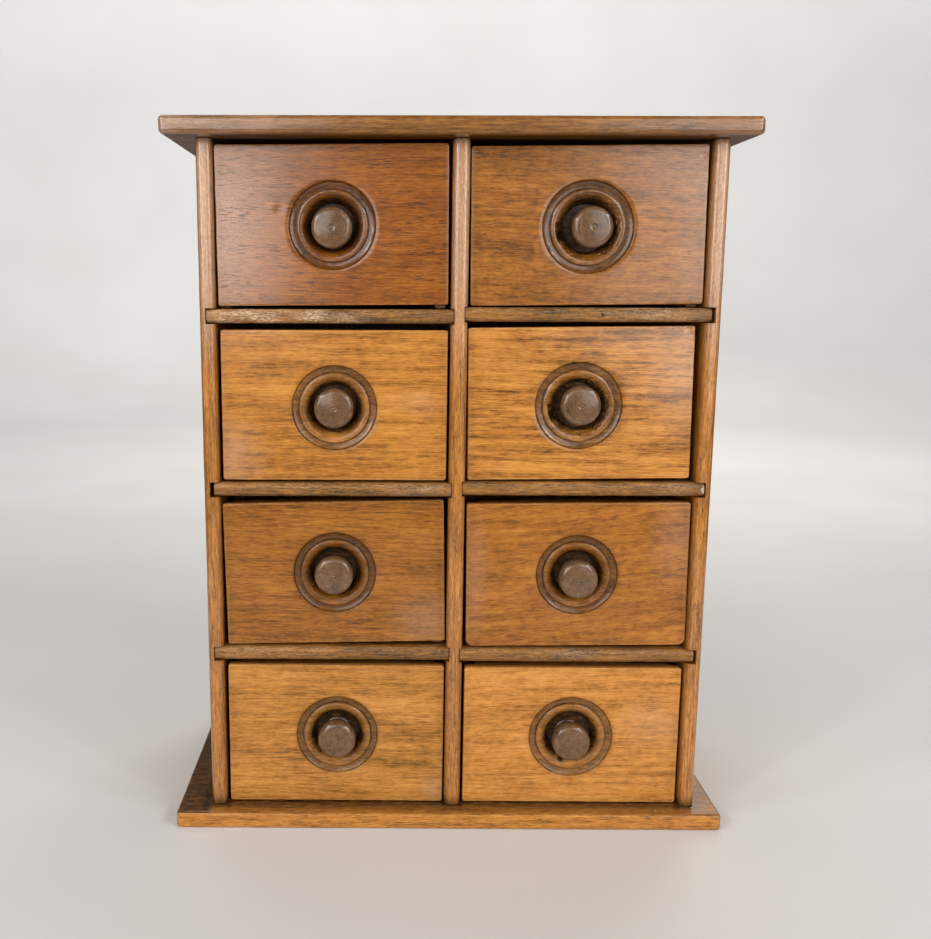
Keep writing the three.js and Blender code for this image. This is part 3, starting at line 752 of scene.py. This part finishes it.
# Each front was made by hand: degrees that its right end is tilted up, the dish (how far right and up it
# is, and its size), how its wood was cut (as in wood_space), its shades and look (wood_material's amounts,
# from rings on), and its marks. A sheen patch is (x, z, half width, half height, strength) and a dent (x, z,
# size, depth), both from the middle of the front; the sheen patches are painted sheen, where the lights
# reflect. A chip in the bead is (angle, half angle, depth), in degrees and millimetres.
FRONTS = {
    ("left", 1): dict(
        tilt=0.5, dish=(0, 0, 1), wood=((2.6, 3.4), (0.4, 0.5), 31), shades=RUSSET,
        look=(0.06, 0.55, 0.8, 0.35, 0.15, 0.45, 0.9),
        sheen_patches=[(-66, 0, 46, 90, 0.68)],
        dents=[(-43, 37, 1.4, 0.5), (-43, 30, 1.1, 0.35), (-30, 9, 1.8, 0.5), (-54, 3, 0.8, 0.6)]),
    ("right", 1): dict(
        tilt=0.6, dish=(0, -0.6, 1.05), wood=((1.8, 2.2), (1.6, 1.5), 32), shades=UMBER,
        look=(0.1, 0.55, 0.6, 0.4, 0.5, 0.45, 0.9),
        sheen_patches=[(62, 34, 46, 34, 0.35), (66, -10, 22, 50, 0.3)],
        dents=[(64.5, 39, 1.5, 0.9)], chips=[(196, 13, 3.2), (176, 7, 1.6)]),
    ("left", 2): dict(
        tilt=0.0, dish=(0, -1.3, 1.01), wood=((-2.2, 3.0), (-0.4, 0.3), 33), shades=HONEY,
        look=(0.08, 0.5, 0.34, 0.5, 0.3, 0.3, 0.6),
        sheen_patches=[(-62, -30, 26, 26, 0.4), (50, 2, 18, 10, 0.2)]),
    ("right", 2): dict(
        tilt=0.7, dish=(-0.6, -1.2, 1.03), wood=((-3.4, 0.9), (0.8, 1.2), 34), shades=HONEY,
        look=(0.12, 0.55, 0.42, 0.8, 0.35, 0.3, 0.8),
        sheen_patches=[(64, 20, 30, 50, 0.4), (20, 38, 60, 12, 0.15)],
        dents=[(62, 44, 2.2, 1.2), (56, 44, 1.6, 0.8)], chips=[(200, 14, 3.4), (181, 7, 1.4)]),
    ("left", 3): dict(
        tilt=1.2, dish=(0, 0, 1), wood=((3.0, 2.6), (0.9, 0.4), 35), shades=UMBER,
        look=(0.08, 0.6, 0.45, 0.35, 0.25, 0.45, 0.3),
        sheen_patches=[(55, -30, 26, 22, 0.25)], dents=[(35, -34, 0.9, 0.7)]),
    ("right", 3): dict(
        tilt=0.6, dish=(0, 0, 0.99), wood=((3.2, 0.7), (-5.0, 3.5), 36), shades=AMBER,
        look=(0.16, 0.45, 0.5, 0.4, 0.35, 0.45, 0.3, 1.1, 1.8),
        lower_corner=4.2, sheen_patches=[(60, 25, 20, 40, 0.25), (-62, 0, 10, 50, 0.2)]),
    ("left", 4): dict(
        tilt=-0.1, dish=(0.6, -0.9, 1.01), wood=((1.9, 3.6), (0.2, -0.4), 37), shades=TAN,
        look=(0.08, 0.55, 0.42, 0.45, 0.3, 0.35, 0.1),
        sheen_patches=[(62, -38, 12, 14, 0.3)]),
    ("right", 4): dict(
        tilt=0.0, dish=(0, -1, 1.04), wood=((-1.4, 2.8), (-0.7, 0.8), 38), shades=PALE,
        look=(0.12, 0.4, 0.28, 0.4, 0.4, 0.3, 0.1),
        sheen_patches=[(50, 8, 26, 20, 0.25)], chips=[(250, 8, 0.5)]),
}


def dish_profile():
    """(radius, depth behind the face) from the well's floor, over the bead and out to the rim of the dish."""
    profile = [(HOLE_RADIUS, WELL_DEPTH), (8.0, WELL_DEPTH), (11.5, WELL_DEPTH)]
    roll_width, roll_depth = BEAD_CREST - WELL_RADIUS, WELL_DEPTH - COVE_DEPTH + BEAD_RISE
    for sine, cosine in quarter_turn(18):
        profile.append((BEAD_CREST - roll_width * cosine, WELL_DEPTH - roll_depth * sine))
    for sine, cosine in quarter_turn(7)[1:]:
        radius = BEAD_CREST + (BEAD_OUTER - BEAD_CREST) * sine
        profile.append((radius, COVE_DEPTH - BEAD_RISE * cosine))
    for sine, cosine in quarter_turn(12)[1:-1]:
        radius = BEAD_OUTER + (DISH_RADIUS - BEAD_OUTER) * sine
        ripple = 0.05 * math.sin(4.5 * radius)  # left by the turning tool
        profile.append((radius, COVE_DEPTH * cosine + ripple))
    return profile + [(DISH_RADIUS + 0.12, 0.12), (DISH_RADIUS + 0.4, 0.02)]


def dish_dirt_and_shade(radius):
    """Dirt lies in the cove and in the line round the bead. Down the bead's inner side the dish darkens to
    black
    in the well: painted shade, over some dirt.
    """
    cove = 0.7 * unit((DISH_RADIUS - radius) / 1.4) * (radius > BEAD_OUTER - 0.5)
    line = np.maximum(near(radius - BEAD_OUTER, 0.8), 0.9 * near(radius - DISH_RADIUS + 0.6, 0.9))
    slope = 0.46 + 0.2 * unit((18.4 - radius) / 3.0) + 0.6 * unit((16.4 - radius) / 2.4)
    slope = slope * (radius < BEAD_OUTER)
    return unit(np.maximum.reduce([cove, line, slope, 0.25 * near(radius - DISH_RADIUS, 1.8)]))


def front_angles(half_width, half_height):
    """Angles round the front, closer together at its corners."""
    corner = math.atan2(half_height, half_width)
    around = [2 * math.pi * k / FRONT_SIDES for k in range(FRONT_SIDES)]
    for middle in (corner, math.pi - corner, math.pi + corner, -corner):
        around += [(middle + math.radians(0.6 * k)) % (2 * math.pi) for k in range(-5, 6)]
    return np.unique(np.round(around, 5))


def reach(angles, half_width, half_height, radius):
    """How far the edge of a rounded rectangle is from its middle, at each angle."""
    c, s = np.abs(np.cos(angles)), np.abs(np.sin(angles))
    straight = np.minimum(half_width / np.maximum(c, 1e-9), half_height / np.maximum(s, 1e-9))
    u, v = half_width - radius, half_height - radius
    along = u * c + v * s
    curved = along + np.sqrt(np.maximum(radius**2 - (u**2 + v**2 - along**2), 0))
    return np.where((straight * c > u) & (straight * s > v), curved, straight)


def front_size(node, tilt):
    """A front's half width and half height before its tilt, from the box that it fills."""
    low, high = box(node)
    c, s = math.cos(math.radians(tilt)), abs(math.sin(math.radians(tilt)))
    across, up = (high - low)[[0, 2]] / 2 - CORNER_RADIUS
    scale = c * c - s * s
    return (across * c - up * s) / scale + CORNER_RADIUS, (up * c - across * s) / scale + CORNER_RADIUS


def drawer_front(side, row):
    body = f"drawer_{side}_{row}"
    node = body + "_front"
    spec = FRONTS[side, row]
    low, high = box(node)
    centre = (low + high) / 2
    thickness = high[1] - low[1]
    between = box(body + "_side_left")[1][0], box(body + "_side_right")[0][0]
    block = (between[1] - between[0]) / 2 - GAP
    block_middle = (between[1] + between[0]) / 2 - centre[0]
    half_width, half_height = front_size(node, spec["tilt"])
    angles = front_angles(half_width, half_height)
    cos, sin = np.cos(angles), np.sin(angles)
    seed = spec["wood"][2]

    # The outer edge, tilted, and how far it is worn away all round.
    level = angles - math.radians(spec["tilt"])
    radius = np.where(np.sin(level) < 0, spec.get("lower_corner", CORNER_RADIUS), CORNER_RADIUS)
    edge = reach(level, half_width, half_height, radius)
    rim = np.stack([cos * edge, sin * edge, np.zeros(len(angles))], 1)
    worn = 0.7 + 0.4 * noise_at(rim, 7, seed)

    dish_shift, dish_lift, size = spec["dish"]
    rings = [(np.full(len(angles), HOLE_RADIUS), thickness)]
    rings += [(np.full(len(angles), r * size), depth) for r, depth in dish_profile()]
    start = rings[-1][0]
    rings += [(start + (edge - worn - start) * k / FACE_RINGS, 0.0) for k in range(1, FACE_RINGS + 1)]
    for sine, cosine in quarter_turn(EDGE_RINGS)[1:]:
        rings.append((edge - worn * (1 - sine), worn * (1 - cosine)))
    rings += [(edge, depth) for depth in (2.4, 4.0, LIP - 0.2)]
    outer_count = len(rings)
    rings += [(edge, depth) for depth in (LIP, LIP + 0.3, thickness - 0.5)]
    rings += [(edge - 0.5, thickness), (np.full(len(angles), 14.0), thickness)]

    points = []
    for i, (r, depth) in enumerate(rings):
        x, z = cos * r, sin * r
        if i >= outer_count:
            x = np.clip(x, block_middle - block, block_middle + block)
        points.append(np.stack([x, np.broadcast_to(depth, x.shape), z], 1))
    points = np.concatenate(points)
    out = np.hypot(points[:, 0], points[:, 2]) / size
    around = np.degrees(np.arctan2(points[:, 2], points[:, 0])) % 360

    # The dish is off the middle of the front, and the knob's hole is off the middle of the dish.
    shifted = unit((SHIFT_FROM - out) / (SHIFT_FROM - SHIFT_TO))
    points[:, [0, 2]] += shifted[:, None] * (dish_shift, dish_lift)
    knob_low, knob_high = box(body + "_knob")
    hole = ((knob_low + knob_high) / 2 - centre)[[0, 2]] - (dish_shift, dish_lift)
    points[:2 * len(angles), ::2] += hole

    # Marks on the face, and a surface that isn't quite flat.
    flat = points[:, [0, 2]]
    face = (points[:, 1] < 2) & (out > DISH_RADIUS)
    sunk = 0.05 * (1 + noise_at(points, 22, seed)) * face
    for x, z, wide, depth in spec.get("dents", []):
        sunk += face * depth * np.exp(-np.sum((flat - (x, z)) ** 2, 1) / wide**2)
    bead = unit(1.6 * near(out - CHIP_RADIUS, CHIP_HALF_WIDTH)) * (points[:, 1] < 6)
    chipped = np.zeros(len(points))
    for angle, half_angle, depth in spec.get("chips", []):
        broken = 1.8 * near(around - angle, half_angle) + 0.3 * noise_at(points, 1.6, seed + 2)
        chip = bead * unit(broken)
        chipped = np.maximum(chipped, chip)
        sunk += depth * chip
    dished = (out < DISH_RADIUS) & (points[:, 1] < WELL_DEPTH + 0.1) & (out > WELL_RADIUS)
    sunk += dished * 0.07 * (1 + noise_at(points, 2.2, seed + 1))
    points[:, 1] += sunk

    # Painted sheen on the face, where the lights reflect.
    painted_sheen = np.zeros(len(points))
    for x, z, wide, tall, strength in spec.get("sheen_patches", []):
        away = np.hypot((flat[:, 0] - x) / wide, (flat[:, 1] - z) / tall)
        painted_sheen += strength * unit(1.25 * (1 - away)) * (out > DISH_RADIUS - 1)
    inside = np.concatenate([edge - ring for ring, _ in rings])
    arris = near(inside, 1.6) * (points[:, 1] < 2.5)
    # A painted highlight along the bead's crest, in the colour of bare wood.
    crest_highlight = near(out - BEAD_CREST - 0.1, 0.8) * (points[:, 1] < 1.2) * (0.6 + noise_at(points, 4, seed + 3))
    rubbed = 320 if side == "left" else 215  # where round the rim the pale line is strongest, in degrees: the arris is rubbed there, and painted with a highlight on the side that faces the lights
    turn = np.abs((around - rubbed + 180) % 360 - 180)
    rim_light = near(out - DISH_RADIUS - 0.1, 0.5) * 0.7 * near(turn, 80)
    wear_and_highlight = 0.4 * arris + 0.5 * crest_highlight + rim_light
    behind = points[:, 1] > 3
    grime_and_shade = np.where(out < DISH_RADIUS + 5, dish_dirt_and_shade(out), 0.0)
    lit_lower_part = near((around - 270 + 180) % 360 - 180, 80)  # the dish's lower part, which faces up to the light: painted lighter, with less of its painted shade and grime
    grime_and_shade *= 1 - lit_lower_part * np.where(out < BEAD_OUTER - 0.5, 0.45, 0.12) * (out > WELL_RADIUS + 1.5)
    grime_and_shade = np.where((out > DISH_RADIUS) & behind, 0.55, grime_and_shade)
    grime_and_shade += 0.1 * near(inside - 2.5, 3) * face + 0.6 * chipped
    layers = layers_for(points, "x", spec["wood"], wear_and_highlight=wear_and_highlight, grime_and_shade=grime_and_shade, painted_sheen=painted_sheen)
    points += (centre[0], low[1], centre[2])
    faces = ring_faces(len(rings), len(angles), joined=True)
    material = wood_material(f"front_wood_{side}_{row}", *spec["shades"], WORN, *spec["look"])
    add_piece(node + "_board", body, material, points, faces, layers, node)


# ---- Knobs ----

KNOB_RADIUS = 11.5
KNOB_RIM = 2.8
KNOB_FACE_RADIUS = KNOB_RADIUS - KNOB_RIM
KNOB_DOME = 0.7
KNOB_SKIRT = 2.2
NECK_RADIUS = 6.8
NECK_LENGTH = 8.0
COLLAR_RADIUS, COLLAR_THICKNESS = 8.6, 1.6
TENON_RADIUS = 4.0
KNOB_SIDES = 72


def knob_profile(shoulder, length):
    """(radius, depth behind the front of the face) of a knob, with the marks that the turning tool left."""
    profile = [(0, 0.02), (0.3, 0.04), (0.55, 0.3), (1.0, 0.4), (1.5, 0.25)]
    for k in range(1, 25):
        r = 1.5 + (KNOB_FACE_RADIUS - 1.5) * k / 24
        groove = 0.02 * (1 + math.sin(2 * math.pi * r / 1.45))
        profile.append((r, 0.05 + (KNOB_DOME - 0.05) * (r / KNOB_FACE_RADIUS) ** 2 + groove * (k < 24)))
    for sine, cosine in quarter_turn(9)[1:]:
        profile.append((KNOB_FACE_RADIUS + KNOB_RIM * sine, KNOB_DOME + KNOB_RIM * (1 - cosine)))
    skirt = KNOB_DOME + KNOB_RIM
    for r, depth in ((0.1, 0.9), (0.25, 1.1), (0.1, 1.3)):
        profile.append((KNOB_RADIUS - r, skirt + depth))
    for sine, cosine in quarter_turn(10):
        r = NECK_RADIUS + (KNOB_RADIUS - NECK_RADIUS) * cosine
        profile.append((r, skirt + KNOB_SKIRT + NECK_LENGTH * sine))
    collar = shoulder - COLLAR_THICKNESS
    return profile + [
        (NECK_RADIUS, collar - 0.3), (NECK_RADIUS + 0.3, collar), (COLLAR_RADIUS - 0.4, collar),
        (COLLAR_RADIUS, collar + 0.4), (COLLAR_RADIUS, shoulder - 0.1), (COLLAR_RADIUS - 0.1, shoulder),
        (TENON_RADIUS, shoulder), (TENON_RADIUS, length - 0.4), (TENON_RADIUS - 0.4, length), (0, length),
    ]


def knob(side, row):
    body = f"drawer_{side}_{row}"
    node = body + "_knob"
    low, high = box(node)
    centre = (low + high) / 2
    seed = 50 + row + 4 * SIDES.index(side)
    length = high[1] - low[1]
    shoulder = box(body + "_front")[0][1] + WELL_DEPTH - GAP - low[1]
    profile = knob_profile(shoulder, length)
    angles = 2 * math.pi * np.arange(KNOB_SIDES) / KNOB_SIDES
    points = np.concatenate([
        np.stack([r * np.cos(angles), np.full(KNOB_SIDES, depth), r * np.sin(angles)], 1)
        for r, depth in profile
    ])
    out = np.hypot(points[:, 0], points[:, 2])
    rim = near(out - KNOB_RADIUS + 1, 1.8) * (points[:, 1] < 4)
    knocks = unit(noise_at(points, 3.2, seed) - 0.15)
    points[:, [0, 2]] *= (1 - 0.02 * knocks * rim)[:, None]
    points[:, 1] += 0.35 * knocks * rim * (points[:, 1] < 1.5)
    face = points[:, 1] < 1.2
    grime_and_shade = np.where(face, 0.1 + 0.2 * noise_at(points, 4, seed + 1), 0.2)
    # The neck and collar, down in the well, are painted dark: painted shade.
    grime_and_shade = np.where(points[:, 1] > 7, 0.65, grime_and_shade) + 0.3 * near(out - 1.2, 0.7) * face
    wear_and_highlight = 0.3 * rim * unit(0.4 + noise_at(points, 5, seed + 2))
    layers = layers_for(points, "y", ((0, 0), (0, 0), seed), wear_and_highlight=wear_and_highlight, grime_and_shade=grime_and_shade)
    points += (centre[0], low[1], centre[2])
    faces = ring_faces(len(profile), KNOB_SIDES)
    add_piece(node + "_turned", body, KNOB, points, faces, layers, node, sharp=50)


# ---- Drawer boxes ----

GROOVE_DEPTH = 3.0


def drawer_side(side, row, hand):
    """A drawer's side, with the groove that holds the bottom board."""
    body = f"drawer_{side}_{row}"
    node = f"{body}_side_{hand}"
    low, high = box(node)
    bottom_low, bottom_high = box(body + "_bottom")
    outer, inner, inward = (low[0], high[0], 1) if hand == "left" else (high[0], low[0], -1)
    floor = inner - inward * (GROOVE_DEPTH + GAP)
    groove_low, groove_high = bottom_low[2] - GAP, bottom_high[2] + GAP
    outline = rounded_outline([
        (outer, low[2], 0.6), (inner, low[2], 0.4), (inner, groove_low, 0.15), (floor, groove_low, 0.15),
        (floor, groove_high, 0.15), (inner, groove_high, 0.15), (inner, high[2], 0.7), (outer, high[2], 0.7),
    ], 5)
    seed = 70 + row + 4 * SIDES.index(side) + 9 * (hand == "right")
    places = stations(low[1], high[1], 5, 0.3)
    points, faces = sweep(outline, places, "y", worn=0.12, patch=16, seed=seed)
    rubbed = near(points[:, 2] - low[2], 5)
    handled = near(points[:, 2] - high[2], 2.5)
    grime_and_shade = 0.12 + 0.2 * noise_at(points, 25, seed) + 0.35 * rubbed + 0.25 * near(points[:, 1] - low[1], 12)
    wood = ((1.5 + 0.3 * row, 2.4), (0.4, 0.5 * (-1) ** row), seed)
    layers = layers_for(points, "y", wood, wear_and_highlight=0.4 * handled, grime_and_shade=grime_and_shade)
    add_piece(node + "_board", body, DRAWER_BOX, points, faces, layers, node)


def drawer_box(side, row):
    body = f"drawer_{side}_{row}"
    seed = 90 + row + 4 * SIDES.index(side)
    for hand in SIDES:
        drawer_side(side, row, hand)
    plank(body + "_back", body, DRAWER_BOX, "x", ((2.0, -2.5), (0.5, 0), seed), seed)
    under = seed + 9
    wood = ((3.0, 1.2), (0.3, 0.2), under)
    plank(body + "_bottom", body, DRAWER_BOX, "x", wood, under, edge=0.3)
    spots = []
    for hand, way in zip(SIDES, (-1, 1)):
        low, high = box(f"{body}_side_{hand}")
        x = (low[0] if way < 0 else high[0]) - way * 0.1
        for y in (low[1] + 3.5, high[1] - 3):
            spots += [((x, y, low[2] + (high[2] - low[2]) * share), (way, 0, 0)) for share in (0.2, 0.5, 0.8)]
    heads(body + "_nails", body, spots, 1.0, 0.2, seed)


# ---- Floor and light ----

FLOOR_RADIUS = 0.8  # metres, as are the sizes below
BACKDROP_RADIUS, BACKDROP_RISE, BACKDROP_HEIGHT = 2.8, 0.9, 2.4


def stage_piece(name, profile, material):
    """A surface turned about the upright axis from (radius, height) points."""
    sides = 96
    points = [
        (r * math.cos(2 * math.pi * k / sides), r * math.sin(2 * math.pi * k / sides), z)
        for r, z in profile for k in range(sides)
    ]
    piece = mesh_object(name, material, points, ring_faces(len(profile), sides), {}, 60)
    return piece


def add_floor():
    """A pale floor that curves up into a backdrop all round. Only the floor near the cabinet lights it."""
    s = Shader("floor_paint")
    cloud = s.noise(s.node("ShaderNodeTexCoord", {}).outputs["Object"], 3.0, 3.0, 1.0)
    s.give("Base Color", s.ramp(cloud, [(0.3, colour(226, 224, 221)), (0.7, colour(232, 230, 228))]))
    s.give("Roughness", 0.6)
    s.give("Specular IOR Level", 0.2)
    stage_piece("floor", [(0.0, 0.0), (FLOOR_RADIUS / 2, 0.0), (FLOOR_RADIUS, 0.0)], s.material)
    profile = [(FLOOR_RADIUS, 0.0), (BACKDROP_RADIUS - BACKDROP_RISE, 0.0)]
    for sine, cosine in quarter_turn(16)[1:]:
        radius = BACKDROP_RADIUS - BACKDROP_RISE * (1 - sine)
        profile.append((radius, BACKDROP_RISE * (1 - cosine)))
    backdrop = stage_piece("backdrop", profile + [(BACKDROP_RADIUS, BACKDROP_HEIGHT)], s.material)
    backdrop.visible_diffuse = False
    backdrop.visible_glossy = False


def area_light(name, at, target, width, height, power, tint=(1, 1, 1)):
    data = bpy.data.lights.new(name, "AREA")
    data.shape = "RECTANGLE"
    data.size, data.size_y = width, height
    data.energy = power
    data.color = tint
    light = bpy.data.objects.new(name, data)
    light.location = at
    light.rotation_euler = (Vector(target) - Vector(at)).to_track_quat("-Z", "Y").to_euler()
    light.visible_camera = False
    scene.collection.objects.link(light)


def add_light():
    upper_rows = (0, -0.07, 0.36)
    area_light("window_left", (-0.63, -1.33, 0.69), upper_rows, 1.02, 0.95, 9.4, (1.0, 0.985, 0.97))
    area_light("window_right", (0.75, -1.27, 0.62), (0, -0.07, 0.3), 0.94, 1.05, 7.6, (1.0, 0.98, 0.97))
    area_light("strip_left", (-0.76, -0.95, 0.66), upper_rows, 0.12, 0.6, 2.4)
    area_light("strip_right", (0.8, -0.95, 0.66), upper_rows, 0.12, 0.6, 2.4)
    for side, way in zip(SIDES, (-1, 1)):
        area_light(f"skylight_{side}", (0.95 * way, -0.55, 0.95), (0, -0.07, 0.15), 0.3, 0.16, 3)
    area_light("fill_behind", (0.9, 1.6, 1.2), (0, 0, 0.2), 1.0, 1.0, 7, (1.0, 0.93, 0.85))
    area_light("backdrop_light", (0, 1.0, 1.9), (0, 2.6, 0.5), 2.0, 0.8, 45)
    for side, way in zip(SIDES, (-1, 1)):
        at, target = (1.1 * way, -0.8, 1.9), (2.4 * way, -1.5, 1.2)
        area_light(f"backdrop_light_{side}", at, target, 2.0, 0.8, 30)
    world = bpy.data.worlds.new("room")
    world.use_nodes = True
    background = world.node_tree.nodes["Background"]
    background.inputs["Color"].default_value = colour(242, 238, 232)
    background.inputs["Strength"].default_value = 0.1
    scene.world = world


# ---- The cabinet ----

add_camera()
add_floor()
add_light()
scene.view_settings.view_transform = "Standard"

for side in SIDES:
    side_panel(side)
centre_divider()
for side in SIDES:
    for row in SHELF_ROWS:
        shelf(side, row)
slab("top_board", TOP, TOP_EDGE_RADIUS, ((1.5, 3.2), (0.3, 0.2), 4), 14, top_wear, top_darkening, top_painted_sheen)
slab("base_board", BASE, BASE_EDGE_RADIUS, ((-2.0, 2.4), (-0.3, 0.3), 5), 15, base_wear, base_dirt_and_shade)
plank("back_panel", "carcase", BACK_PANEL, "z", ((4.0, 2.0), (0.5, 0.4), 6), 16, sunk=0.2)
carcase_nails()
repairs()
for side in SIDES:
    for row in ROWS:
        drawer_front(side, row)
        knob(side, row)
        drawer_box(side, row)
